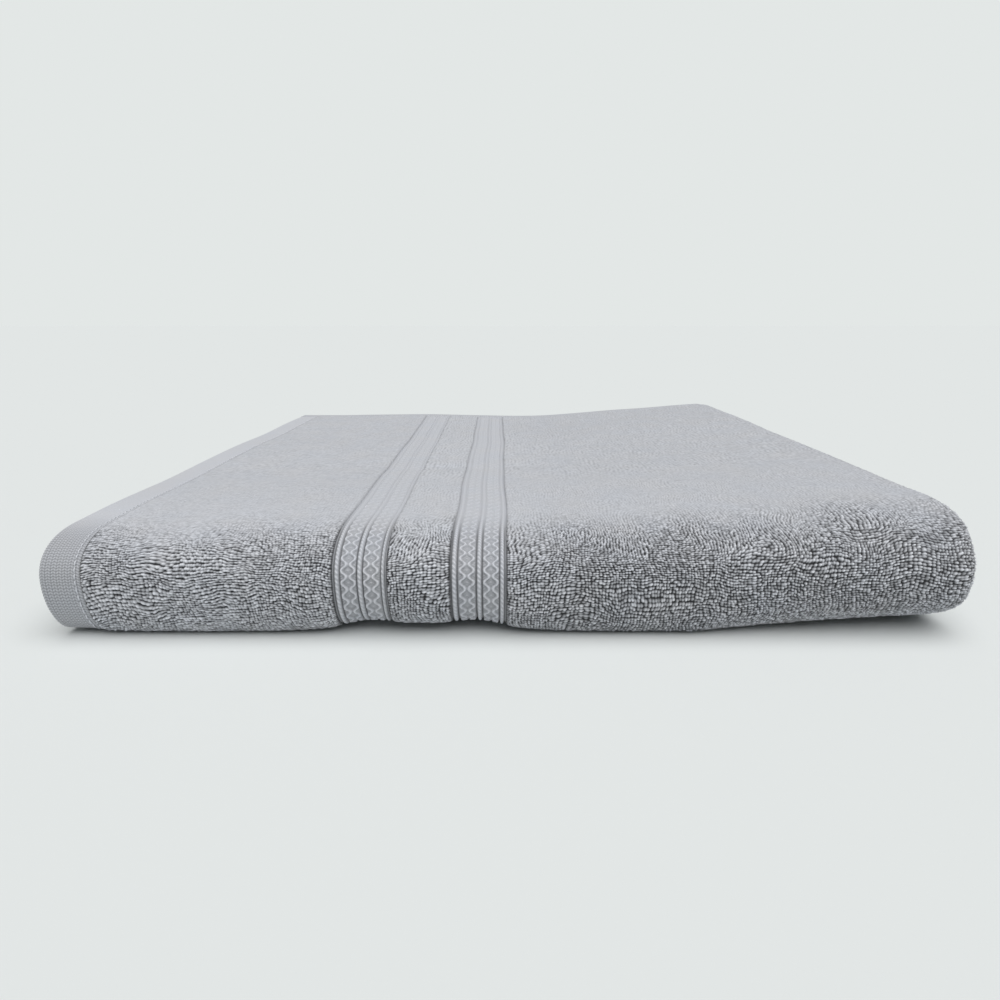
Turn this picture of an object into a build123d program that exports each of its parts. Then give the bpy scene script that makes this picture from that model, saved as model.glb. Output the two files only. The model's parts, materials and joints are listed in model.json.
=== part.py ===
from build123d import *
from math import pi
import os

# A terry bath towel, folded for a shelf: in half along its length twice, then in half across its
# width.  X runs along the towel's length, Y across its width, +Z up.  The origin is the centre of
# the underside of the bounding box.  All lengths are in millimetres.
#
# Folded, the cloth lies in eight layers: four U-shaped layers, one inside the other, which open to
# the back (+Y) and bend round the front (-Y).  Each U is an under half, a front bend and a top
# half.  The bends turn about one straight line, the hinge line of the front fold.

# Driving dimensions of the cloth
TOWEL_LENGTH = 1500.0
TOWEL_WIDTH = 750.0
LAYER_PITCH = 6.2
GAP = 0.3

# Zones of the outer layer, measured from the hemmed end
HEM_WIDTH = 16.5
TERRY_END_WIDTH = 101.0
BORDER_ONE_WIDTH = 21.7
STRIP_WIDTH = 25.7
BORDER_TWO_WIDTH = 22.7

# Hems, borders and threads
HEM_DROP = 1.6
BORDER_DROP = 1.7
CORD_RADIUS = 1.2
RIB_WIDTH = 6.4
RIB_RISE = 0.9
SIDE_HEM_WIDTH = 12.0
SIDE_HEM_DROP = 1.0
THREAD_WIDTH = 0.9
THREAD_DEPTH = 0.5
THREAD_INSET = 1.6
THREAD_RECESS = 0.1
SECOND_END_INSET = 2.5
LEFT_FOLD_INSET = 2.0
EDGE_ROUND = 1.1

# Worked out from those
LAYERS = 4
FOLDED_WIDTH = TOWEL_LENGTH / LAYERS
HALF_GAP = GAP / 2
FRONT_REACH = LAYERS * LAYER_PITCH - HALF_GAP
SPINE_Z = FRONT_REACH
PLY = LAYER_PITCH - GAP
LEFT_X = -FOLDED_WIDTH / 2
RIGHT_X = FOLDED_WIDTH / 2
FOLD_X = RIGHT_X - 2 * LAYER_PITCH + HALF_GAP
LEFT_FOLD_X = LEFT_X + LEFT_FOLD_INSET + LAYER_PITCH - HALF_GAP

# The turns at the ends: name, X of the centre, radius in layers, side, and layer on the outside.
# FOLD_R is the distance of each turn's centre from the hinge line, by that layer.
TURNS = [
    ("outer_right_fold", FOLD_X, 2, 1, 1),
    ("inner_right_fold", FOLD_X, 1, 1, 2),
    ("left_fold", LEFT_FOLD_X, 1, -1, 3),
]
FOLD_R = {1: 2 * LAYER_PITCH, 2: 2 * LAYER_PITCH, 3: LAYER_PITCH}


def layer_span(layer):
    """Inner and outer distance of a U layer from the hinge line, 1 being the outermost."""
    outer = (LAYERS + 1 - layer) * LAYER_PITCH - HALF_GAP
    return outer - PLY, outer


def flat_length(layer):
    """How far a layer runs back from the hinge line, so that every layer is as wide as the towel."""
    inner, outer = layer_span(layer)
    return (TOWEL_WIDTH - pi * (inner + outer) / 2) / 2


DEPTH = FRONT_REACH + flat_length(LAYERS)
HINGE_Y = FRONT_REACH - DEPTH / 2
SECTION = Plane((0, HINGE_Y, SPINE_Z), x_dir=(1, 0, 0), z_dir=(0, -1, 0))
HINGE = Axis((0, HINGE_Y, SPINE_Z), (1, 0, 0))
SPINE_PLANE = Plane((0, 0, SPINE_Z))


# Sections are drawn in X and in distance from the hinge line


def rectangle(x_start, x_end, r_start, r_end):
    centre = Pos((x_start + x_end) / 2, (r_start + r_end) / 2)
    return centre * Rectangle(x_end - x_start, r_end - r_start)


def rounded(x_start, x_end, r_start, r_end):
    centre = Pos((x_start + x_end) / 2, (r_start + r_end) / 2)
    return centre * RectangleRounded(x_end - x_start, r_end - r_start, EDGE_ROUND)


def hem_section(layer, x_start):
    """The turned and stitched end: flat weave, thinner than the terry, with a groove for its thread."""
    inner, outer = layer_span(layer)
    hem = rounded(x_start, x_start + HEM_WIDTH, inner, outer - HEM_DROP)
    return hem - thread_section(layer, x_start, THREAD_DEPTH)


def thread_section(layer, x_start, depth):
    """The line of stitches beside the hem's inner edge."""
    top = layer_span(layer)[1] - HEM_DROP
    x_thread = x_start + HEM_WIDTH - THREAD_INSET
    return rectangle(x_thread - THREAD_WIDTH, x_thread, top - depth, top)


def terry_section(layer, x_start, x_end):
    inner, outer = layer_span(layer)
    return rectangle(x_start, x_end, inner, outer)


def border_section(layer, x_start, width):
    """A woven border: cords at both edges and in the middle, and a raised rib between each two."""
    inner, outer = layer_span(layer)
    base = outer - BORDER_DROP
    section = rectangle(x_start, x_start + width, inner, base)
    middle = x_start + width / 2
    reach = width / 2 - CORD_RADIUS
    for place in (-1, 0, 1):
        section += Pos(middle + place * reach, base) * Circle(CORD_RADIUS)
    for side in (-1, 1):
        x_rib = middle + side * reach / 2
        section += rectangle(x_rib - RIB_WIDTH / 2, x_rib + RIB_WIDTH / 2, base - GAP, base + RIB_RISE)
    return section


def fold_section(x_centre, r_centre, outer_radius, side, thickness=PLY):
    """Half a ring: the cloth turning back on itself at the left (-1) or right (+1) end."""
    inner_radius = max(outer_radius - thickness, HALF_GAP)
    ring = Circle(outer_radius) - Circle(inner_radius)
    half = Pos(side * outer_radius, 0) * Rectangle(2 * outer_radius, 2 * outer_radius)
    return Pos(x_centre, r_centre) * (ring & half)


# Solids


def top_solid(section, y_start, y_end):
    """A section drawn out along Y in the top half, measured back from the hinge line."""
    solid = extrude(SECTION * section, -(y_end - y_start))
    return Pos(0, y_start, 0) * solid


def front_solid(section):
    """A section turned half way round the hinge line, over the front."""
    return revolve(SECTION * section, HINGE, 180)


def under_solid(section, y_start, y_end):
    return mirror(top_solid(section, y_start, y_end), SPINE_PLANE)


def write(name, solids):
    export_step(Compound(children=[s for part in solids for s in part.solids()]), f"parts/{name}.step")


def write_piece(name, sections, layer, trim=SIDE_HEM_WIDTH):
    """The under half, front bend and top half of one zone of the cloth."""
    back = flat_length(layer) - trim
    write(name + "_under", [under_solid(s, HALF_GAP, back) for s in sections])
    write(name + "_front", [front_solid(s) for s in sections])
    write(name + "_top", [top_solid(s, HALF_GAP, back) for s in sections])


def outer_layer():
    """The end of the towel that shows: hem, terry, two borders with a strip between, terry."""
    x_terry = LEFT_X + HEM_WIDTH
    x_one = x_terry + TERRY_END_WIDTH
    x_strip = x_one + BORDER_ONE_WIDTH
    x_two = x_strip + STRIP_WIDTH
    x_panel = x_two + BORDER_TWO_WIDTH
    write_piece("outer_hem", [hem_section(1, LEFT_X)], 1)
    write_piece("outer_terry_end", [terry_section(1, x_terry, x_one)], 1)
    write_piece("outer_border_one", [border_section(1, x_one, BORDER_ONE_WIDTH)], 1)
    write_piece("outer_terry_strip", [terry_section(1, x_strip, x_two)], 1)
    write_piece("outer_border_two", [border_section(1, x_two, BORDER_TWO_WIDTH)], 1)
    write_piece("outer_terry_panel", [terry_section(1, x_panel, FOLD_X)], 1)
    write_piece("outer_hem_thread", [thread_section(1, LEFT_X, THREAD_DEPTH - THREAD_RECESS)], 1)


def second_layer():
    """The towel's other end, just under the first, with the same weave."""
    x_hem = LEFT_X + SECOND_END_INSET
    x_terry = x_hem + HEM_WIDTH
    x_one = x_terry + TERRY_END_WIDTH
    x_strip = x_one + BORDER_ONE_WIDTH
    x_two = x_strip + STRIP_WIDTH
    x_panel = x_two + BORDER_TWO_WIDTH
    borders = [border_section(2, x_one, BORDER_ONE_WIDTH), border_section(2, x_two, BORDER_TWO_WIDTH)]
    write_piece("second_hem", [hem_section(2, x_hem)], 2)
    write_piece("second_terry_end", [terry_section(2, x_terry, x_one)], 2)
    write_piece("second_borders", borders, 2)
    write_piece("second_terry_strip", [terry_section(2, x_strip, x_two)], 2)
    write_piece("second_terry_panel", [terry_section(2, x_panel, FOLD_X)], 2)
    write_piece("second_hem_thread", [thread_section(2, x_hem, THREAD_DEPTH - THREAD_RECESS)], 2)


def middle_of_the_towel():
    """The third and fourth layers, plain terry, and the three turns that join the four layers."""
    write_piece("third_layer_terry", [terry_section(3, LEFT_FOLD_X, FOLD_X)], 3)
    write_piece("inner_layer_terry", [terry_section(4, LEFT_FOLD_X, FOLD_X)], 4)
    for name, x_centre, turns, side, layer in TURNS:
        section = fold_section(x_centre, FOLD_R[layer], turns * LAYER_PITCH - HALF_GAP, side)
        write_piece(name, [section], layer)


def side_hem(layer, build, x_start, x_end):
    """One layer's stretch of a side hem: a thinner strip behind the terry, grooved for its thread."""
    inner, outer = layer_span(layer)
    back = flat_length(layer)
    strip = rectangle(x_start, x_end, inner + SIDE_HEM_DROP, outer - SIDE_HEM_DROP)
    groove = rectangle(x_start, x_end, outer - SIDE_HEM_DROP - THREAD_DEPTH, outer - SIDE_HEM_DROP)
    y_thread = back - SIDE_HEM_WIDTH + THREAD_INSET
    return build(strip, back - SIDE_HEM_WIDTH, back) - build(groove, y_thread, y_thread + THREAD_WIDTH)


def side_thread(layer, build, x_start, x_end):
    """The stitches of that stretch, just below the hem's face."""
    top = layer_span(layer)[1] - SIDE_HEM_DROP - THREAD_RECESS
    bottom = top - THREAD_DEPTH + THREAD_RECESS
    y_thread = flat_length(layer) - SIDE_HEM_WIDTH + THREAD_INSET
    return build(rectangle(x_start, x_end, bottom, top), y_thread, y_thread + THREAD_WIDTH)


def turned_side_hem(turn, build):
    """A side hem's stretch round one of the turns."""
    _, x_centre, turns, side, layer = turn
    outer_radius = turns * LAYER_PITCH - HALF_GAP - SIDE_HEM_DROP
    section = fold_section(x_centre, FOLD_R[layer], outer_radius, side, PLY - 2 * SIDE_HEM_DROP)
    back = flat_length(layer)
    return build(section, back - SIDE_HEM_WIDTH, back)


def side_hems():
    """The towel's two long edges, which run through all four layers at the back."""
    starts = [LEFT_X, LEFT_X + SECOND_END_INSET, LEFT_FOLD_X, LEFT_FOLD_X]
    for half, build in (("under", under_solid), ("top", top_solid)):
        strips = [side_hem(n, build, starts[n - 1], FOLD_X) for n in range(1, LAYERS + 1)]
        strips += [turned_side_hem(turn, build) for turn in TURNS]
        threads = [side_thread(n, build, starts[n - 1], FOLD_X) for n in range(1, LAYERS + 1)]
        write("side_hem_" + half, strips)
        write("side_hem_thread_" + half, threads)


os.makedirs("parts", exist_ok=True)
outer_layer()
second_layer()
middle_of_the_towel()
side_hems()
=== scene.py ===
"""The looks of a folded terry bath towel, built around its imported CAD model.

The towel lies in eight layers, four U-shaped ones inside each other, which open to the back and
bend round the front.  Each visible piece is one stretch of that cloth.  It is drawn first in the
plain CAD places, then moved by warp(), which gives the whole stack its soft shape, and last its
weave is raised along the surface: terry loops, cords, diamonds, herringbone and stitches.
Lengths in this script are millimetres; build() turns them to metres.
"""

import json
from math import pi, radians

import bpy
import numpy as np
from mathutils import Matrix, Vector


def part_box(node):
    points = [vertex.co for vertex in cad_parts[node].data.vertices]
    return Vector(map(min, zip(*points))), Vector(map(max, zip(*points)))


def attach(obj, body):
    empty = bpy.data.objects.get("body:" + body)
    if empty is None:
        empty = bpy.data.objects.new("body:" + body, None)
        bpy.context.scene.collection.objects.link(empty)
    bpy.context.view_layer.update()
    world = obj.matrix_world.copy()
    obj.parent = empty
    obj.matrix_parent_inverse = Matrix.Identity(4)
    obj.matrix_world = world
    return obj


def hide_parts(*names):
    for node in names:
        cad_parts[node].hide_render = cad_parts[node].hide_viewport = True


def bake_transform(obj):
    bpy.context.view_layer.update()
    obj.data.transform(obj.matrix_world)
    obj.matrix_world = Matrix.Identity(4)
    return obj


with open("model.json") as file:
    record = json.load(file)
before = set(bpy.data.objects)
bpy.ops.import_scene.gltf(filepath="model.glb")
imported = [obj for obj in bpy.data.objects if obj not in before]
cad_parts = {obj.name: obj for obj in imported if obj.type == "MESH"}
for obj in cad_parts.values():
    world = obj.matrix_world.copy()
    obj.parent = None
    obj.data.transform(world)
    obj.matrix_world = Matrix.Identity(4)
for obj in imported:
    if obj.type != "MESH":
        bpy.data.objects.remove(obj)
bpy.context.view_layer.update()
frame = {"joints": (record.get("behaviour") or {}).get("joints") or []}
MM = 0.001


def span(node, axis):
    """The lowest and highest place of a CAD node along an axis, in millimetres."""
    low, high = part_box(node)
    return low[axis] / MM, high[axis] / MM


# Places read from the CAD model
_, HINGE_Y, SPINE_Z = (v / MM for v in frame["joints"][0]["pos_m"])
LEFT_X, HEM_END = span("outer_hem_top", 0)
BORDER_ONE = span("outer_border_one_top", 0)
BORDER_TWO = span("outer_border_two_top", 0)
FOLD_X = span("outer_terry_panel_top", 0)[1]
RIGHT_X = span("outer_right_fold_top", 0)[1]
SECOND_HEM = span("second_hem_top", 0)
LEFT_FOLD_X = span("left_fold_top", 0)[1]
FRONT_Y = span("outer_terry_panel_front", 1)[0]
REACH = HINGE_Y - FRONT_Y
PLY = span("outer_terry_panel_top", 2)[1] - span("outer_terry_panel_top", 2)[0]
PITCH = REACH - (SPINE_Z - span("second_terry_panel_under", 2)[0])
TERRY_BACK = {
    1: span("outer_terry_panel_top", 1)[1] - HINGE_Y,
    2: span("second_terry_panel_top", 1)[1] - HINGE_Y,
    3: span("third_layer_terry_top", 1)[1] - HINGE_Y,
    4: span("inner_layer_terry_top", 1)[1] - HINGE_Y,
}
SIDE_HEM = span("side_hem_top", 1)[1] - HINGE_Y - TERRY_BACK[4]
THREAD_X = sum(span("outer_hem_thread_top", 0)) / 2
SECOND_THREAD_X = sum(span("second_hem_thread_top", 0)) / 2


def layer_span(layer):
    """Inner and outer distance of a layer from the hinge line, 1 being the outermost."""
    outer = REACH - (layer - 1) * PITCH
    return outer - PLY, outer


# The soft shape of the stack
LEFT_HEIGHT = 44.9
RAMP_START = 42.0
RAMP_SLOPE = 0.0765
RAMP_SOFTNESS = 0.9
FRONT_MIDDLE = (26.0, 28.5)
BOTTOM_ROUND = (12.3, 44.0)
TOP_ROUND = (27.0, 44.0)
TOP_POWER = (2.5, 2.2)
LIFT_FADE = 75.0
STATIONS = 97
STEPS = 97


def smooth(v):
    v = np.clip(v, 0.0, 1.0)
    return v * v * (3 - 2 * v)


def across(x):
    """0 at the hemmed end, 1 at the folded end."""
    return np.clip((x - LEFT_X) / (RIGHT_X - LEFT_X), 0, 1)


def between(pair, x):
    return pair[0] + (pair[1] - pair[0]) * across(x)


def bump(x, centre, width):
    return np.exp(-(((x - centre) / width) ** 2))


def height(x, y):
    """Height of the top face away from the front."""
    u = (x - RAMP_START) * RAMP_SLOPE
    ramp = 0.5 * (u + np.sqrt(u * u + RAMP_SOFTNESS**2))
    swell = 1.2 * smooth((x - 120) / 60) * smooth((y - 60) / 100)
    low = LEFT_HEIGHT - 0.7 * bump(x, 0.0, 70.0) + swell
    waves = 0.45 * np.sin(x / 31.0 + y / 57.0 + 1.0) + 0.4 * np.sin(y / 23.0 - x / 95.0)
    crease = -0.9 * bump(y, HINGE_Y + 118.0 + 0.06 * x, 7.0) * bump(x, -25.0, 55.0)
    shoulder = 1.3 * bump(x, LEFT_X, 28.0) * bump(y, FRONT_Y + 60.0, 62.0)
    return low + ramp + waves + crease + shoulder


def top_face(x, y):
    """Height of the top face, with its gentle fall to the front."""
    full = height(x, y)
    middle, depth = between(FRONT_MIDDLE, x), between(TOP_ROUND, x)
    power = between(TOP_POWER, x)
    v = np.clip(1 - (y - FRONT_Y) / depth, 0, 1)
    return middle + (full - middle) * (1 - v**power) ** (1 / power)


def at_borders(x):
    """1 at the middle of each border, and less to both sides."""
    return bump(x, sum(BORDER_ONE) / 2, 12.0) + bump(x, sum(BORDER_TWO) / 2, 12.0)


def lift(x):
    """How far the underside stands off the floor along the front."""
    left = 1.0 * np.clip((LEFT_X + 40.0 - x) / 40.0, 0, 1) ** 1.4
    return left + 1.3 * at_borders(x) + 2.6 * bump(x, -35.0, 38.0)


def bottom_face(x, y):
    """Height of the underside, which rises to the front in a round, a wide one at the right end."""
    off_floor = lift(x) * (1 - smooth((y - FRONT_Y - 18.0) / LIFT_FADE))
    corner = np.clip((x - 80.0) / 107.0, 0, 1)
    depth = BOTTOM_ROUND[0] + (BOTTOM_ROUND[1] - BOTTOM_ROUND[0]) * corner
    depth = depth + 4.0 * at_borders(x) + 4.0 * bump(x, -35.0, 38.0)
    v = np.clip(1 - (y - FRONT_Y) / depth, 0, 1)
    middle = between(FRONT_MIDDLE, x)
    return middle - (middle - off_floor) * np.sqrt(1 - v * v)


def front_curves():
    """Tables of the front's outline: for each station in X, Y and Z by share of the bend."""
    x = np.linspace(LEFT_X - 12, RIGHT_X + 12, STATIONS)[:, None]
    q = np.linspace(0, 1, 400)[None, :]
    y_low = REACH * (1 - q) ** 2.0
    z_low = bottom_face(x, FRONT_Y + y_low)
    y_high = REACH * q**3.0
    z_high = top_face(x, FRONT_Y + y_high)
    tables = []
    for ys, zs in ((y_low, z_low), (y_high, z_high)):
        ys = np.broadcast_to(ys, zs.shape)
        run = np.hypot(np.diff(ys), np.diff(zs))
        along = np.concatenate([np.zeros((STATIONS, 1)), np.cumsum(run, 1)], 1)
        share = np.linspace(0, 1, STEPS)
        rows = [(np.interp(share * a[-1], a, p), np.interp(share * a[-1], a, z))
                for a, p, z in zip(along, ys, zs)]
        tables.append(np.array(rows))
    both = np.concatenate([tables[0], tables[1][:, :, 1:]], 2)
    return both[:, 0, :] + FRONT_Y, both[:, 1, :]


CURVE_Y, CURVE_Z = front_curves()


def front_outline(x, share):
    """Y and Z of the outermost bend, from the underside (0) over the front (0.5) to the top (1)."""
    i = np.clip((x - (LEFT_X - 12)) / (RIGHT_X - LEFT_X + 24), 0, 1) * (STATIONS - 1.0001)
    j = np.clip(share, 0, 1) * (2 * STEPS - 2.0001)
    i0, j0 = i.astype(int), j.astype(int)
    fi, fj = i - i0, j - j0
    found = []
    for table in (CURVE_Y, CURVE_Z):
        near = table[i0, j0] * (1 - fj) + table[i0, j0 + 1] * fj
        far = table[i0 + 1, j0] * (1 - fj) + table[i0 + 1, j0 + 1] * fj
        found.append(near * (1 - fi) + far * fi)
    return found


def sway(x, y, z):
    """Small sideways shifts, so that no weave line or end is quite straight."""
    right_end = smooth((x - 120.0) / 70.0)
    shift = 0.4 * np.sin(y / 29.0 + 0.6) + 0.2 * np.sin(y / 13.0 + x / 60.0)
    tuck = -3.0 * right_end * bump(z, 0.0, 12.0) * bump(y, FRONT_Y, 32.0)
    bulge = 6.8 * smooth((z + 8) / 14) - 2.4 * smooth((z - 12) / 12) + 1.9 * smooth((z - 38) / 12)
    ends = 1.6 * np.sin(y / 47.0 + z / 9.0) * smooth((LEFT_X + 30 - x) / 30)
    return shift * smooth((y - FRONT_Y) / 40.0) + tuck + right_end * bulge + ends * 0.4


def warp(x, y, z):
    """Moves points of the plain CAD towel to where the soft towel has them."""
    dy, dz = y - HINGE_Y, z - SPINE_Z
    radius = np.where(dy < 0, np.hypot(dy, dz), np.abs(dz))
    share = np.arccos(np.clip(-dz / np.maximum(np.hypot(dy, dz), 1e-9), -1, 1)) / pi
    depth = radius / REACH
    bend_y, bend_z = front_outline(x, share)
    face = np.where(dz >= 0, top_face(x, y), bottom_face(x, y))
    bend = dy < 0
    y_new = np.where(bend, HINGE_Y + depth * (bend_y - HINGE_Y), y)
    z_new = SPINE_Z + depth * (np.where(bend, bend_z, face) - SPINE_Z)
    x_new = x + sway(x, y, z_new)
    return x_new, y_new, z_new


# Weaves by cloth place, s along the towel and t across it: how far each place stands out, in
# millimetres, and its shade tone, from 0 in painted shade deep between the threads to 1 on top of
# them
LOOP = (1.36, 1.29)
PILE = 1.25
CELLS = 512
NOISE_CELLS = 128
FAR_LOOPS = 1.6
RIB_PITCH = 1.12
FLOAT_PITCH = 1.35
CHAIN_PERIOD = 6.0
CORD_TWIST = 2.3


def value_noise(a, b, seed):
    """Smooth noise from -1 to 1 with one lattice point a unit."""
    grid = np.random.default_rng(seed).uniform(-1, 1, (NOISE_CELLS, NOISE_CELLS))
    i, j = np.floor(a).astype(int), np.floor(b).astype(int)
    u, v = smooth(a - i), smooth(b - j)
    i0, i1, j0, j1 = (k % NOISE_CELLS for k in (i, i + 1, j, j + 1))
    low = grid[i0, j0] * (1 - u) + grid[i1, j0] * u
    high = grid[i0, j1] * (1 - u) + grid[i1, j1] * u
    return low * (1 - v) + high * v


def pile(s, t, seed=3, size_by=1.0):
    """Terry loops, from 0 to 1: domes on a loose lattice that swings about.

    Near the hemmed end they run together into rows, and high on the right into columns."""
    random = np.random.default_rng(seed)
    jitter = random.uniform(-0.19, 0.19, (2, CELLS, CELLS))
    size = random.uniform(0.88, 1.12, (CELLS, CELLS))
    rise = random.uniform(0.62, 1.0, (CELLS, CELLS))
    a = s + 2.6 * value_noise(s / 19, t / 15, seed + 2) + 0.8 * value_noise(s / 6, t / 5, seed + 3)
    b = t + 2.6 * value_noise(s / 16, t / 18, seed + 4) + 0.8 * value_noise(s / 5, t / 6, seed + 5)
    a, b = a / (LOOP[0] * size_by), b / (LOOP[1] * size_by)
    patch = value_noise(s / 13, t / 10, seed + 6)
    rows = smooth((BORDER_ONE[0] + 25 - s) / 70) * smooth(0.75 + patch)
    columns = smooth((t - 4) / 16) * smooth((s - BORDER_ONE[0]) / 30) * smooth(0.9 + patch)
    stretch = 1 + 0.42 * rows + 0.5 * columns + 0.25 * np.abs(patch)
    angle = 1.45 * columns + 0.55 * value_noise(s / 8, t / 7, seed + 7) + 0.5 * patch * (1 - rows)
    cos, sin = np.cos(angle), np.sin(angle)
    i, j = np.floor(a).astype(int), np.floor(b).astype(int)
    best = np.zeros_like(a)
    for di in (-1, 0, 1):
        for dj in (-1, 0, 1):
            ci, cj = (i + di) % CELLS, (j + dj) % CELLS
            da = a - (i + di + 0.5 + jitter[0, ci, cj])
            db = b - (j + dj + 0.5 + jitter[1, ci, cj])
            u = (da * cos + db * sin) / (0.60 * stretch * size[ci, cj])
            v = (db * cos - da * sin) / (0.60 / stretch**0.4 * size[ci, cj])
            dome = rise[ci, cj] * np.clip(1 - u * u - v * v, 0, 1) ** 0.72
            best = np.maximum(best, dome)
    return best


def terry(s, t, edges=()):
    """Looped pile, pressed flatter on top and low down, coarser far from the front, and lower
    beside the given edges.  Its shade tone is painted shade between the loops, which fades to an
    even tone where the pile is pressed, and painted shade in the low groove beside each edge."""
    loops = pile(s, t)
    if np.max(np.abs(t)) > FAR_T:
        far = smooth((np.abs(t) - FAR_T) / 35)
        loops = loops * (1 - far) + pile(s, t, size_by=FAR_LOOPS) * far
    loops = loops ** (1.06 + 0.29 * smooth((s + 10) / 50))
    start = 15 - 7 * smooth((-70 - s) / 60) + 6 * value_noise(s / 24, t / 30, 31)
    upright = smooth((s - FOLD_X - 3) / 6)
    flat = (0.76 * smooth((t - start) / 44) + 0.45 * smooth((-t - 34) / 40)) * (1 - 0.7 * upright)
    press = (1 - flat) * (0.85 + 0.15 * smooth((t + 34) / 10))
    high = PILE * (loops * press + 0.6 * (1 - press))
    # Painted shade between the loops, fading to an even tone of 0.745 where the pile is pressed
    shade_tone = loops * press + 0.745 * (1 - press)
    # Painted shade in the low groove beside each edge, where the pile also lies lower
    for edge in edges:
        near = (1 - smooth(np.abs(s - edge) / 1.2)) * press
        high, shade_tone = high * (1 - 0.8 * near), shade_tone * (1 - 0.7 * near)
    return high, shade_tone


def inner_terry(s, t):
    """The pile inside the fold, drawn a little coarser, with painted shade between its loops."""
    loops = pile(s, t, size_by=1.3)
    return PILE * (0.7 * loops + 0.2), 0.72 * loops + 0.2


def pressed(s, t):
    """The pile where another layer lies on it, with milder painted shade between its loops."""
    loops = pile(s, t)
    return 0.5 * PILE * loops, 0.5 + 0.5 * loops


def cord(s, t, centre, width):
    """A twisted cord along the cloth, from 0 to 1, and how deep the groove on each side is."""
    u = (s - centre) / (width / 2)
    round_top = np.sqrt(np.clip(1 - u * u, 0, 1))
    strand = 0.5 + 0.5 * np.sin(2 * pi * (t / CORD_TWIST + 0.42 * u))
    groove = np.exp(-(((np.abs(u) - 1.35) / 0.30) ** 2))
    return round_top * (0.56 + 0.44 * strand), groove


def chain(s, t, centre, width):
    """Two raised threads that swing apart and together round small diamonds."""
    u = np.abs(s - centre)
    swing = np.cos(2 * pi * t / CHAIN_PERIOD)
    swing = np.sign(swing) * np.abs(swing) ** 0.75
    offset = (0.275 + 0.150 * swing) * width
    lines = np.exp(-(((u - offset) / 0.68) ** 2))
    beside = np.exp(-(((np.abs(u - offset) - 1.05) / 0.38) ** 2))
    along = np.abs((t / CHAIN_PERIOD + 0.5) % 1 - 0.5)
    diamond = u / (0.20 * width) + along / 0.24
    heart = np.exp(-((diamond / 0.5) ** 2))
    fine = 0.5 + 0.5 * np.sin(2 * pi * (t / 1.3 + u / 1.7))
    ground = np.where(u < offset, 0.20 + 0.12 * fine, 0.14 + 0.30 * fine) - 0.16 * beside
    inside = u < width / 2
    return np.where(inside, np.maximum(np.maximum(lines, 0.62 * heart), ground), 0.1)


BORDER_ONE_CORDS = ((0.085, 0.082), (0.507, 0.082), (0.935, 0.055))
BORDER_ONE_CHAINS = ((0.298, 0.30), (0.718, 0.30))
BORDER_TWO_CORDS = ((0.070, 0.082), (0.515, 0.078), (0.925, 0.070))
BORDER_TWO_CHAINS = ((0.295, 0.29), (0.725, 0.285))
BORDER_RISE = 1.25


def border(s, t, place):
    """A woven border: cords along its edges and middle, and a chain of diamonds between.  Its shade
    tone is painted shade where the weave lies low and in the grooves, fading out onto the top.
    """
    start, end = place
    width = end - start
    first = place is BORDER_ONE
    cords = BORDER_ONE_CORDS if first else BORDER_TWO_CORDS
    chains = BORDER_ONE_CHAINS if first else BORDER_TWO_CHAINS
    high = 0.18 + 0.06 * np.sin(2 * pi * t / 0.9) * np.ones_like(s)
    for share, size in chains:
        high = np.maximum(high, chain(s, t, start + share * width, size * width))
    deep = np.zeros_like(high)
    for share, size in cords:
        raised_cord, groove = cord(s, t, start + share * width, size * width)
        high, deep = np.maximum(high, raised_cord), np.maximum(deep, groove)
    press = 1 - 0.45 * smooth((t - 26) / 40)
    high = (high * (1 - deep) - 0.25 * deep) * press
    # Painted shade where the weave lies low and in the grooves beside the cords
    shade_tone = np.clip(0.16 + 0.72 * high - 0.25 * deep, 0, 1)
    # The painted shade fades out from the upper front onto the top, which is left an even light
    # tone
    seen = 1 - 0.64 * smooth((t - 22) / 40)
    return BORDER_RISE * high, shade_tone * seen + 0.78 * (1 - seen)


def herringbone(s, t, shade_fade=None):
    """Flat weave of the hems: narrow ribs whose short floats slant left and right in turn.  Its
    shade tone is painted shade between the ribs, which fades out from the upper front onto the top.
    """
    # How far the painted shade between the ribs fades out: more toward the top, unless given
    shade_fade = 0.8 * smooth((t - 18) / 36) if shade_fade is None else shade_fade
    column = s / RIB_PITCH
    side = np.where(np.floor(column) % 2 < 1, 1.0, -1.0)
    u = column - np.floor(column) - 0.5
    floats = 0.5 + 0.5 * np.sin(2 * pi * (t / FLOAT_PITCH + 0.55 * side * u))
    high = np.sqrt(np.clip(1 - (1.9 * u) ** 2, 0, 1)) * (0.35 + 0.65 * floats)
    return 0.34 * high, 0.85 * high * (1 - shade_fade) + shade_fade


# Meshes


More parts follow.
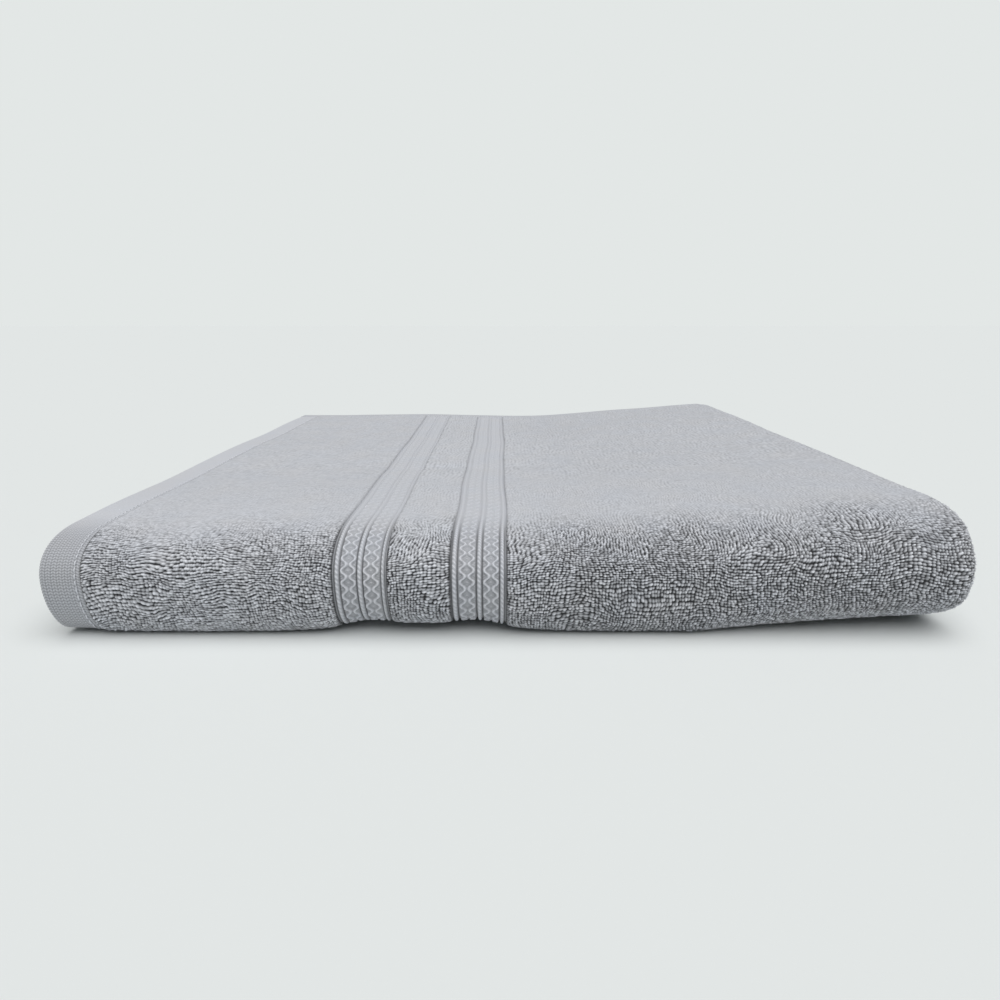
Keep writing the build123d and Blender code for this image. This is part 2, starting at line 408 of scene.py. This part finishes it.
def build(name, places, tones, cloth):
    """A closed object from rows of points [row, point, xyz], each row a ring round the piece."""
    rows, count = places.shape[:2]
    index = np.arange(rows * count).reshape(rows, count)
    beside = np.roll(index, -1, 1)
    quads = np.stack([index[:-1], beside[:-1], beside[1:], index[1:]], -1).reshape(-1, 4)
    points = places.reshape(-1, 3)
    ends = [index[0][::-1], index[-1]]
    if inside_out(points, quads):
        quads = quads[:, ::-1]
        ends = [index[0], index[-1][::-1]]
    loops = np.concatenate([quads.ravel(), *ends]).astype(np.int32)
    sizes = np.concatenate([np.full(len(quads), 4), [count, count]]).astype(np.int32)
    mesh = bpy.data.meshes.new(name)
    mesh.vertices.add(len(points))
    mesh.vertices.foreach_set("co", (points * MM).astype(np.float32).ravel())
    mesh.loops.add(len(loops))
    mesh.loops.foreach_set("vertex_index", loops)
    mesh.polygons.add(len(sizes))
    starts = np.concatenate([[0], np.cumsum(sizes)[:-1]]).astype(np.int32)
    mesh.polygons.foreach_set("loop_start", starts)
    mesh.polygons.foreach_set("use_smooth", np.arange(len(sizes)) < len(quads))
    mesh.update(calc_edges=True)
    mesh.validate()
    store(mesh, "shade_tone", "FLOAT", tones)
    store(mesh, "cloth", "FLOAT_VECTOR", cloth)
    piece = bpy.data.objects.new("soft_" + name, mesh)
    bpy.context.scene.collection.objects.link(piece)
    return piece


def inside_out(points, quads):
    """Whether the faces turn inward, by the sign of the volume they close."""
    a, b, c, d = (points[quads[:, k]] for k in range(4))
    volume = (a * np.cross(b, c)).sum() + (a * np.cross(c, d)).sum()
    return volume < 0


def store(mesh, name, kind, values):
    attribute = mesh.attributes.new(name, kind, "POINT")
    field = "vector" if kind == "FLOAT_VECTOR" else "value"
    attribute.data.foreach_set(field, np.asarray(values, np.float32).ravel())


def graded(start, end, fine, coarse, grade):
    """Places from start to end whose spacing grows from fine to coarse over the first stretch."""
    places = [start]
    while places[-1] < end:
        done = float(smooth((places[-1] - start) / grade))
        places.append(places[-1] + fine + (coarse - fine) * done)
    places = np.array(places)
    return start + (places - start) * (end - start) / (places[-1] - start)


def even(start, end, step):
    return np.linspace(start, end, max(2, int(round(abs(end - start) / step)) + 1))


def carry(part, rows, x, r):
    """CAD places of a section, in x and distance from the hinge line, carried along one part."""
    x, r, rows = x[None, :], r[None, :], rows[:, None]
    if part == "front":
        y, z = HINGE_Y - r * np.sin(rows), SPINE_Z - r * np.cos(rows)
    else:
        side = 1 if part == "top" else -1
        y, z = HINGE_Y + rows + 0 * r, SPINE_Z + side * r + 0 * rows
    return np.broadcast_arrays(x + 0 * y, y, z)


def cloth_t(part, rows):
    """The place across the towel's width, 0 along the middle of the front bend."""
    if part == "front":
        return REACH * (rows - pi / 2)
    return (1 if part == "top" else -1) * (REACH * pi / 2 + rows)


def raised(base, high, outward):
    """Points lifted off a surface grid by their heights, along its normals."""
    along_rows = np.gradient(base, axis=0)
    along_cols = np.gradient(base, axis=1)
    normal = np.cross(along_cols, along_rows)
    normal /= np.maximum(np.linalg.norm(normal, axis=2, keepdims=True), 1e-9)
    side = 1 if (normal * outward).sum() > 0 else -1
    return base + side * normal * high[:, :, None]


def cloth_piece(name, part, rows, face, back, weave):
    """A closed piece of cloth: a detailed face and a plain back, both as (x, r, s).

    x and r place the section, s is the way along the cloth, and weave(s, t) is the face's relief
    and its shade tone, which holds painted shade between the threads.
    """
    x, r, s = (np.concatenate([f, b[::-1]]) for f, b in zip(face, back))
    t = cloth_t(part, rows)
    places = np.stack(warp(*carry(part, rows, x, r)), -1)
    count = len(face[0])
    high, shade_tone = weave(*np.meshgrid(face[2], t))
    behind = np.linspace(places.shape[1] - 1, count, count).round().astype(int)
    places[:, :count] = raised(places[:, :count], high, places[:, :count] - places[:, behind])
    tones = np.full(places.shape[:2], 0.5)
    tones[:, :count] = shade_tone
    cloth = np.zeros(places.shape)
    cloth[:, :, 0] = s[None, :]
    cloth[:, :, 1] = t[:, None]
    return build(name, places, tones, cloth)


def level(x_start, x_end, step, r):
    """A straight stretch of section at one distance from the hinge line."""
    x = even(x_start, x_end, step)
    return x, np.full_like(x, r), x


def turned(x_centre, r_centre, radius, side, step, power=2.0):
    """A half round stretch of section, from the outer layer to the inner one; plumper by power."""
    angle = even(0, pi, step / radius)
    cos, sin = np.cos(angle), np.sin(angle)
    x = x_centre + side * radius * sin ** (2 / power)
    r = r_centre + radius * np.sign(cos) * np.abs(cos) ** (2 / power)
    if power != 2.0:
        x, r = spaced(x, r)
    return x, r, x_centre + side * radius * angle


def spaced(x, r):
    """The same outline with its points evenly apart."""
    run = np.concatenate([[0], np.cumsum(np.hypot(np.diff(x), np.diff(r)))])
    even_run = np.linspace(0, run[-1], len(run))
    return np.interp(even_run, run, x), np.interp(even_run, run, r)


def rounded_hem(x_start, x_end, r_low, r_high, step):
    """Outer face of a hem, round its folded edge on the left, and a little way underneath."""
    radius = (r_high - r_low) / 2
    flat = even(x_end, x_start + radius, step)[:-1]
    angle = even(0, pi, step / radius * 0.8)
    x = np.concatenate([flat, x_start + radius - radius * np.sin(angle)])
    r = np.concatenate([np.full_like(flat, r_high), r_low + radius + radius * np.cos(angle)])
    s = x_end - np.concatenate([[0], np.cumsum(np.hypot(np.diff(x), np.diff(r)))])
    return x, r, s


# Where each part's rows of points lie
FINE = 0.38
FRONT_FINE = 0.30
COARSE_BACK = 6.0
NEAR_TOP = 62.0
FAR_T = REACH * pi / 2 + NEAR_TOP
TOP_GRADE = 110.0
TOP_STEP = 0.85
FAR_STEP = TOP_STEP * 0.85
UNDER_STEP = 1.5
INNER_STEP = 0.9
HIDDEN_STEP = 6.0
FOLD_STEP = 0.36
THIRD_STEP = 0.9
HIDDEN_COLUMN = 3.0
HEM_STEP = 0.25

# Shapes of the pieces
FOLD_POWER = 3.3
FOLD_R = 2 * PITCH
HALF_GAP = (PITCH - PLY) / 2
HALF_RING = PITCH - HALF_GAP
BACK_INSET = 0.5
SEAM_LAP = 0.4
HEM_LOW = 1.6
HEM_DROP = 1.4


def part_rows(part, layer, hidden=False):
    """Places along a part: angles round the front bend, or distances behind the hinge line."""
    back = TERRY_BACK[layer]
    radius = layer_span(layer)[1]
    if hidden:
        return even(0, pi, HIDDEN_STEP / radius) if part == "front" else even(0, back, HIDDEN_STEP)
    if part == "front":
        return even(0, pi, FRONT_FINE / radius)
    if part == "top":
        return graded(0, back, FINE, TOP_STEP, TOP_GRADE)
    return graded(0, back, UNDER_STEP / 2, UNDER_STEP, 30.0)


def col_step(part):
    return {"under": UNDER_STEP, "front": FRONT_FINE, "top": FINE}[part]


def hold(piece, part):
    """Rides on its half; a front piece keeps its place baked into its mesh."""
    if part != "front":
        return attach(piece, "upper_half" if part == "top" else "lower_half")
    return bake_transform(piece)


def finish_piece(piece, part, material, nodes):
    piece.data.materials.append(material)
    hold(piece, part)
    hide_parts(*nodes)
    return piece


# Materials


class Nodes:
    """A short hand for building a node tree."""

    def __init__(self, name):
        self.material = bpy.data.materials.new(name)
        self.material.use_nodes = True
        self.tree = self.material.node_tree
        self.shader = self.tree.nodes["Principled BSDF"]

    def add(self, kind, inputs=(), **settings):
        node = self.tree.nodes.new(kind)
        for key, value in settings.items():
            setattr(node, key, value)
        for key, value in dict(inputs).items():
            if isinstance(value, bpy.types.NodeSocket):
                self.tree.links.new(value, node.inputs[key])
            else:
                node.inputs[key].default_value = value
        return node

    def attribute(self, name):
        return self.add("ShaderNodeAttribute", attribute_name=name)

    def ramp(self, value, stops):
        node = self.add("ShaderNodeValToRGB", {"Fac": value})
        for _ in range(len(stops) - 2):
            node.color_ramp.elements.new(0.5)
        for element, (place, colour) in zip(node.color_ramp.elements, stops):
            element.position = place
            element.color = (*colour, 1)
        return node.outputs["Color"]

    def mix(self, factor, a, b, blend="MIX"):
        node = self.add("ShaderNodeMix", data_type="RGBA", blend_type=blend)
        pairs = ((0, factor), (6, a), (7, b))
        for key, value in pairs:
            if isinstance(value, bpy.types.NodeSocket):
                self.tree.links.new(value, node.inputs[key])
            else:
                node.inputs[key].default_value = value if key == 0 else (*value, 1)
        return node.outputs[2]


def cotton(name, tones, fibre, fleck_depth=0.10, fuzz=0.30):
    """Grey cotton: painted shade between the threads, patches of warmer and cooler dye, fuzzy
    fibres.
    """
    n = Nodes(name)
    shade_tone = n.attribute("shade_tone").outputs["Fac"]
    cloth = n.attribute("cloth").outputs["Vector"]
    # Colour by shade tone: the dark low end of the ramp is painted shade between the threads
    base = n.ramp(shade_tone, [(place, (v * 0.98, v, v * 1.06)) for place, v in tones])
    patches = n.add("ShaderNodeTexNoise", {"Vector": cloth, "Scale": 0.045, "Detail": 3.0})
    dye = n.ramp(patches.outputs["Fac"], ((0.3, (0.955, 0.97, 1.0)), (0.7, (1.0, 0.985, 0.975))))
    toned = n.mix(0.6, base, dye, "MULTIPLY")
    fleck = n.add(
        "ShaderNodeTexNoise", {"Vector": cloth, "Scale": 1.7, "Detail": 4.0, "Roughness": 0.7}
    )
    dim = 1 - fleck_depth
    flecks = n.ramp(fleck.outputs["Fac"], ((0.25, (dim, dim, dim)), (0.75, (1.0, 1.0, 1.0))))
    n.tree.links.new(n.mix(1.0, toned, flecks, "MULTIPLY"), n.shader.inputs["Base Color"])
    n.shader.inputs["Roughness"].default_value = 0.94
    n.shader.inputs["Sheen Weight"].default_value = fuzz
    n.shader.inputs["Sheen Roughness"].default_value = 0.5
    n.shader.inputs["Specular IOR Level"].default_value = 0.2
    yarn = n.add(
        "ShaderNodeTexNoise", {"Vector": cloth, "Scale": fibre, "Detail": 5.0, "Roughness": 0.75}
    )
    bumps = n.add(
        "ShaderNodeBump", {"Height": yarn.outputs["Fac"], "Strength": 0.5, "Distance": 0.0003}
    )
    n.tree.links.new(bumps.outputs["Normal"], n.shader.inputs["Normal"])
    return n.material


# Ramps from shade tone to colour: the dark low ends of the cloth ramps are painted shade between
# the threads
TERRY = cotton("terry_cotton", ((0.0, 0.03), (0.28, 0.128), (0.65, 0.572), (1.0, 0.95)), 2.6)
BORDER = cotton("border_weave", ((0.0, 0.18), (0.35, 0.45), (0.7, 0.66), (1.0, 0.82)), 3.4)
HEM = cotton("hem_weave", ((0.0, 0.19), (0.85, 0.64), (1.0, 0.70)), 3.4, 0.08)
THREAD = cotton("sewing_thread", ((0.0, 0.60), (1.0, 0.78)), 6.0, 0.05)


# Pieces of the outer layer


def terry_zone(name, nodes, part, rows, x_start, x_end, edges, far=False):
    """A stretch of the outer layer with its loops on the outside."""
    inner, outer = layer_span(1)
    step = FAR_STEP if far else col_step(part)
    face = level(x_start, x_end, step, outer - PILE)
    back = level(x_start, x_end, COARSE_BACK, inner)
    piece = cloth_piece(name, part, rows, face, back, lambda s, t: terry(s, t, edges))
    return finish_piece(piece, part, TERRY, nodes)


def border_zone(name, part, rows, place):
    inner, outer = layer_span(1)
    face = level(*place, min(0.36, col_step(part)), outer - BORDER_RISE - 0.45)
    back = level(*place, COARSE_BACK, inner)
    piece = cloth_piece(name, part, rows, face, back, lambda s, t: border(s, t, place))
    return finish_piece(piece, part, BORDER, [name])


def hem_zone(name, layer, part, rows, x_start, x_end):
    inner, outer = layer_span(layer)
    face = rounded_hem(x_start, x_end, inner + HEM_LOW, outer - HEM_DROP, HEM_STEP)
    back = level(x_start + 3.0, x_end, COARSE_BACK, inner + HEM_LOW)
    back = tuple(v[::-1] for v in back)
    piece = cloth_piece(name, part, rows, face, back, herringbone)
    return finish_piece(piece, part, HEM, [name])


def fold_zone(name, part, rows, radius):
    """The cloth turning back on itself at the right end, with loops on the outside."""
    face = turned(FOLD_X, FOLD_R, radius - PILE, 1, FOLD_STEP, FOLD_POWER)
    back = turned(FOLD_X, FOLD_R, radius - PLY, 1, COARSE_BACK / 2, FOLD_POWER)
    piece = cloth_piece(name, part, rows, face, back, terry)
    return finish_piece(piece, part, TERRY, [name])


PARTS = ("under", "front", "top")
STITCH_PITCH = 3.0
STITCH_LENGTH = 2.5
STITCH_WIDTH = 0.62
STITCH_SIDES = 6


def stitches(run):
    """A row of lockstitches: short rounded threads that dip into the cloth at both ends."""
    count = int(run / STITCH_PITCH)
    u = np.linspace(-1, 1, 9)
    angle = np.linspace(0, 2 * pi, STITCH_SIDES, endpoint=False)
    width = STITCH_WIDTH / 2 * np.sqrt(np.clip(1.02 - u**2, 0, 1))
    verts, faces = [], []
    for k in range(count):
        middle = (k + 0.5) * STITCH_PITCH
        start = len(verts)
        for along, w in zip(u, width):
            rise = 0.25 * (1 - along**2) - 0.1
            for a in angle:
                x = middle + along * STITCH_LENGTH / 2
                verts.append((x, w * np.cos(a), rise + w * np.sin(a) * 0.8))
        for row in range(len(u) - 1):
            base = start + row * STITCH_SIDES
            for a in range(STITCH_SIDES):
                b = (a + 1) % STITCH_SIDES
                faces.append((base + a, base + b, base + STITCH_SIDES + b, base + STITCH_SIDES + a))
        last = start + (len(u) - 1) * STITCH_SIDES
        faces.append(tuple(start + a for a in reversed(range(STITCH_SIDES))))
        faces.append(tuple(last + a for a in range(STITCH_SIDES)))
    return np.array(verts), faces


def stitch_line(name, part, layer, x_line):
    """Stitches along the hem, across the towel's width."""
    outer = layer_span(layer)[1] - HEM_DROP + 0.25
    run = pi * outer if part == "front" else TERRY_BACK[layer]
    verts, faces = stitches(run)
    rows = verts[:, 0] / outer if part == "front" else verts[:, 0]
    x, r = x_line + verts[:, 1], outer + verts[:, 2]
    if part == "front":
        y, z = HINGE_Y - r * np.sin(rows), SPINE_Z - r * np.cos(rows)
    else:
        y, z = HINGE_Y + rows, SPINE_Z + (r if part == "top" else -r)
    return thread_piece(name, warp(x, y, z), faces, part, [name])


def thread_piece(name, places, faces, part, nodes):
    mesh = bpy.data.meshes.new(name)
    points = np.stack(places, -1)
    mesh.from_pydata((points * MM).tolist(), [], faces)
    mesh.polygons.foreach_set("use_smooth", [True] * len(faces))
    store(mesh, "shade_tone", "FLOAT", np.full(len(points), 0.8))
    store(mesh, "cloth", "FLOAT_VECTOR", points)
    mesh.update()
    piece = bpy.data.objects.new("soft_" + name, mesh)
    bpy.context.scene.collection.objects.link(piece)
    return finish_piece(piece, part, THREAD, nodes)


def outer_layer():
    for part in PARTS:
        rows = part_rows(part, 1)
        hem_zone(f"outer_hem_{part}", 1, part, rows, LEFT_X, HEM_END)
        stitch_line(f"outer_hem_thread_{part}", part, 1, THREAD_X)
        terry_run("outer_terry_end", part, rows, HEM_END, BORDER_ONE[0], (HEM_END, BORDER_ONE[0]))
        border_zone(f"outer_border_one_{part}", part, rows, BORDER_ONE)
        name = f"outer_terry_strip_{part}"
        edges = (BORDER_ONE[1], BORDER_TWO[0])
        terry_zone(name, [name], part, rows, BORDER_ONE[1], BORDER_TWO[0], edges)
        border_zone(f"outer_border_two_{part}", part, rows, BORDER_TWO)
        end = FOLD_X + SEAM_LAP
        terry_run("outer_terry_panel", part, rows, BORDER_TWO[1], end, (BORDER_TWO[1],))
        fold_rows = part_rows("top", 1) if part == "under" else rows
        radius = layer_span(1)[1] - FOLD_R
        fold_zone(f"outer_right_fold_{part}", part, fold_rows, radius)


def terry_run(zone, part, rows, start, end, edges):
    """A long run of pile: two pieces on the front, and a near and a far one on the top."""
    node = [f"{zone}_{part}"]
    if part == "under":
        terry_zone(node[0], node, part, rows, start, end, edges)
    if part == "front":
        middle = (start + end) / 2
        terry_zone(f"{zone}_front_left", node, part, rows, start, middle, edges)
        terry_zone(f"{zone}_front_right", node, part, rows, middle, end, edges)
    if part == "top":
        near = rows[rows <= NEAR_TOP]
        far = rows[rows >= near[-2]]
        terry_zone(f"{zone}_near", node, part, near, start, end, edges)
        terry_zone(f"{zone}_far", node, part, far, start, end, edges, far=True)


# The layers inside


def second_layer():
    """The second layer, with the small fold at its right end that turns into the third."""
    inner, outer = layer_span(2)
    for part in PARTS:
        hem_zone(f"second_hem_{part}", 2, part, part_rows(part, 2), *SECOND_HEM)
        stitch_line(f"second_hem_thread_{part}", part, 2, SECOND_THREAD_X)
        zones = ("second_terry_end", "second_borders", "second_terry_strip", "second_terry_panel")
        nodes = [f"{zone}_{part}" for zone in (*zones, "inner_right_fold")]
        rows = part_rows(part, 2, hidden=True)
        turn = turned(FOLD_X, FOLD_R, HALF_RING - PILE, 1, 1.2)
        inside = turned(FOLD_X, FOLD_R, HALF_RING - PLY + BACK_INSET, 1, 1.0)
        face = joined(level(SECOND_HEM[1], FOLD_X, HIDDEN_COLUMN, outer - PILE), turn)
        back = joined(level(SECOND_HEM[1], FOLD_X, COARSE_BACK, inner + BACK_INSET), inside)
        piece = cloth_piece(f"second_layer_{part}", part, rows, face, back, pressed)
        finish_piece(piece, part, TERRY, nodes)


def joined(one, two):
    """Two stretches of section, one after the other."""
    return tuple(np.concatenate([a, b[1:]]) for a, b in zip(one, two))


def third_weave(s, t):
    """Free loops on the turn, pressed ones where the second layer lies on them."""
    return np.where(s < LEFT_FOLD_X, terry(s, t), pressed(s, t))


def third_layer():
    """The third layer, with the small fold at its left end that turns into the innermost one."""
    inner, outer = layer_span(3)
    for part in PARTS:
        if part == "front":
            rows = even(0, pi, THIRD_STEP / outer)
        else:
            rows = graded(0, TERRY_BACK[3], THIRD_STEP, THIRD_STEP, 1.0)
        turn = turned(LEFT_FOLD_X, PITCH, HALF_RING - PILE, -1, 0.6)
        inside = turned(LEFT_FOLD_X, PITCH, HALF_RING - PLY + BACK_INSET, -1, 1.0)
        face = joined(level(FOLD_X, LEFT_FOLD_X, HIDDEN_COLUMN, outer - PILE), turn)
        back = joined(level(FOLD_X, LEFT_FOLD_X, COARSE_BACK, inner + BACK_INSET), inside)
        piece = cloth_piece(f"third_layer_{part}", part, rows, face, back, third_weave)
        nodes = [f"third_layer_terry_{part}", f"left_fold_{part}"]
        finish_piece(piece, part, TERRY, nodes)


def inner_layer():
    """The innermost layer, whose inner face is seen when the front fold is opened."""
    inner, outer = layer_span(4)
    middle = (LEFT_FOLD_X + FOLD_X) / 2
    for part in PARTS:
        node = f"inner_layer_terry_{part}"
        if part == "front":
            rows = even(0, pi, 0.6 / outer)
            face = level(LEFT_FOLD_X, FOLD_X, INNER_STEP, inner + PILE / 2)
            back = level(LEFT_FOLD_X, FOLD_X, COARSE_BACK, outer)
            piece = cloth_piece(node, part, rows, face, back, pressed)
            finish_piece(piece, part, TERRY, [node])
            continue
        rows = even(0, TERRY_BACK[4], INNER_STEP)
        for half, start, end in (("left", LEFT_FOLD_X, middle), ("right", middle, FOLD_X)):
            face = level(start, end, INNER_STEP, inner + PILE)
            back = level(start, end, COARSE_BACK, outer)
            piece = cloth_piece(f"inner_layer_{half}_{part}", part, rows, face, back, inner_terry)
            finish_piece(piece, part, TERRY, [node])


# Side hems along the back edges

SIDE_LOW = 1.1
SIDE_DROP = 1.2
SIDE_HEM_ROW = 0.8
SIDE_HEM_STEP = 0.5
SIDE_HEM_TURN = 0.3
# The side hems keep half of the herringbone's painted shade between the ribs
SIDE_SHADE_FADE = 0.5
THREAD_SET_BACK = 2.0


def side_hem_strip(layer, half, x_start, x_end):
    """One layer's stretch of side hem, as rows along X of a closed section in Y and R."""
    inner, outer = layer_span(layer)
    low, high = inner + SIDE_LOW, outer - SIDE_DROP
    start, end = TERRY_BACK[layer], TERRY_BACK[layer] + SIDE_HEM
    radius = (high - low) / 2
    flat = even(start, end - radius, SIDE_HEM_STEP)
    angle = even(0, pi, SIDE_HEM_TURN)
    y = np.concatenate([flat, end - radius + radius * np.sin(angle), [start]])
    r = np.concatenate([np.full_like(flat, high), low + radius + radius * np.cos(angle), [low]])
    x = even(x_start, x_end, SIDE_HEM_ROW)
    grid_x, grid_y = np.meshgrid(x, y, indexing="ij")
    grid_r = np.broadcast_to(r, grid_y.shape)
    return lift_side_hem(half, grid_x, grid_y, grid_r, len(y) - 1)


def lift_side_hem(half, x, y, r, count):
    """The strip in its soft, rippled place, with its first count columns raised by the weave."""
    side = 1 if half == "top" else -1
    ripple = 0.7 * np.sin(x / 21.0 + r) + 0.4 * np.sin(x / 9.0 + 2 * r)
    wave = ripple * smooth((y - y[:, :1]) / SIDE_HEM)
    places = np.stack(warp(x, HINGE_Y + y + wave, SPINE_Z + side * r), -1)
    # Herringbone relief and shade tone, with half its painted shade between the ribs
    high, shade_tone = herringbone(y, x, SIDE_SHADE_FADE)
    centre = places.mean(1, keepdims=True)
    places[:, :count] = raised(places[:, :count], high[:, :count], places[:, :count] - centre)
    return places, shade_tone, np.stack([x, y, r], -1)


def join(name, parts):
    """Several closed strips as one mesh."""
    pieces = [build(f"{name}_{k}", *strip) for k, strip in enumerate(parts)]
    bpy.ops.object.select_all(action="DESELECT")
    for piece in pieces:
        piece.select_set(True)
    bpy.context.view_layer.objects.active = pieces[0]
    bpy.ops.object.join()
    pieces[0].name = "soft_" + name
    return pieces[0]


def turned_side_hem(half, layer, x_centre, r_centre, radius, side):
    """The side hem's stretch round one of the turns at the ends."""
    start, end = TERRY_BACK[layer], TERRY_BACK[layer] + SIDE_HEM
    angle = even(0, pi, SIDE_HEM_ROW / radius)
    thick = PLY - SIDE_LOW - SIDE_DROP
    outer_radius = radius - SIDE_DROP
    flat = even(start, end - thick / 2, SIDE_HEM_STEP)
    bend = even(0, pi, SIDE_HEM_TURN)
    y = np.concatenate([flat, end - thick / 2 + thick / 2 * np.sin(bend), [start]])
    depth = np.concatenate([np.zeros_like(flat), thick / 2 * (1 - np.cos(bend)), [thick]])
    depth = np.minimum(depth, outer_radius - 0.4)
    grid_a, grid_y = np.meshgrid(angle, y, indexing="ij")
    at = outer_radius - depth[None, :]
    x = x_centre + side * at * np.sin(grid_a)
    r = r_centre + at * np.cos(grid_a)
    return lift_side_hem(half, x, grid_y, r, len(y) - 1)


def side_hems():
    starts = (LEFT_X + 0.6, SECOND_HEM[0] + 0.4, LEFT_FOLD_X, LEFT_FOLD_X)
    for half in ("under", "top"):
        strips = [side_hem_strip(n + 1, half, x, FOLD_X) for n, x in enumerate(starts)]
        strips.append(turned_side_hem(half, 1, FOLD_X, FOLD_R, FOLD_R - HALF_GAP, 1))
        strips.append(turned_side_hem(half, 2, FOLD_X, FOLD_R, HALF_RING, 1))
        strips.append(turned_side_hem(half, 3, LEFT_FOLD_X, PITCH, HALF_RING, -1))
        name = f"side_hem_{half}"
        piece = join(name, strips)
        finish_piece(piece, half, HEM, [name])
        side_threads(half, starts)


def side_threads(half, starts):
    """The stitches along every stretch of a side hem."""
    side = 1 if half == "top" else -1
    places, faces, count = [], [], 0
    for layer, x_start in enumerate(starts, 1):
        verts, rings = stitches(FOLD_X - x_start)
        x = x_start + verts[:, 0]
        y = HINGE_Y + TERRY_BACK[layer] + THREAD_SET_BACK + verts[:, 1]
        r = layer_span(layer)[1] - SIDE_DROP + 0.2 + verts[:, 2]
        places.append(np.stack(warp(x, y, SPINE_Z + side * r), -1))
        faces += [tuple(count + v for v in ring) for ring in rings]
        count += len(verts)
    name = f"side_hem_thread_{half}"
    points = np.concatenate(places)
    thread_piece(name, (points[:, 0], points[:, 1], points[:, 2]), faces, half, [name])


# The stage

CAMERA_BACK = 238.0
CAMERA_HEIGHT = 127.5
CAMERA_X = -2.5
CAMERA_DOWN = 15.46
CAMERA_LENS = 23.04
BACKDROP = (0.768, 0.800, 0.791)
FLOOR_TONE = (0.784, 0.808, 0.804)
ROOM_LIGHT = 0.26
SUN_STRENGTH = 2.58
SUN_SPREAD = 66.0
SUN_TILT = (19, 7, 0)


def stage():
    bpy.ops.mesh.primitive_plane_add(size=60)
    floor = bpy.context.object
    floor.name = "floor"
    n = Nodes("floor_paper")
    grain = n.add("ShaderNodeTexNoise", {"Scale": 3.0, "Detail": 2.0})
    tones = [tuple(v * k for v in FLOOR_TONE) for k in (0.998, 1.002)]
    paper = n.ramp(grain.outputs["Fac"], tuple(zip((0.0, 1.0), tones)))
    n.tree.links.new(paper, n.shader.inputs["Base Color"])
    n.shader.inputs["Roughness"].default_value = 0.95
    n.shader.inputs["Specular IOR Level"].default_value = 0.0
    floor.data.materials.append(n.material)


def lights():
    """A dim, even room whose backdrop looks pale, and one broad soft light high in front."""
    world = bpy.data.worlds.new("studio")
    bpy.context.scene.world = world
    world.use_nodes = True
    tree = world.node_tree
    background = tree.nodes["Background"]
    background.inputs["Color"].default_value = (*BACKDROP, 1)
    seen = tree.nodes.new("ShaderNodeLightPath")
    level_of = tree.nodes.new("ShaderNodeMapRange")
    level_of.inputs["To Min"].default_value = ROOM_LIGHT
    tree.links.new(seen.outputs["Is Camera Ray"], level_of.inputs["Value"])
    tree.links.new(level_of.outputs["Result"], background.inputs["Strength"])
    sun = bpy.data.lights.new("overhead", "SUN")
    sun.energy = SUN_STRENGTH
    sun.angle = radians(SUN_SPREAD)
    lamp = bpy.data.objects.new("overhead", sun)
    lamp.rotation_euler = [radians(v) for v in SUN_TILT]
    bpy.context.scene.collection.objects.link(lamp)


def camera():
    data = bpy.data.cameras.new("camera")
    data.sensor_width = 36.0
    data.lens = CAMERA_LENS
    data.clip_start = 0.01
    eye = bpy.data.objects.new("camera", data)
    eye.location = (CAMERA_X * MM, (FRONT_Y - CAMERA_BACK) * MM, CAMERA_HEIGHT * MM)
    eye.rotation_euler = (radians(90 - CAMERA_DOWN), 0, 0)
    bpy.context.scene.collection.objects.link(eye)
    bpy.context.scene.camera = eye


camera()
stage()
lights()
outer_layer()
second_layer()
third_layer()
inner_layer()
side_hems()
bpy.context.scene.view_settings.view_transform = "Standard"
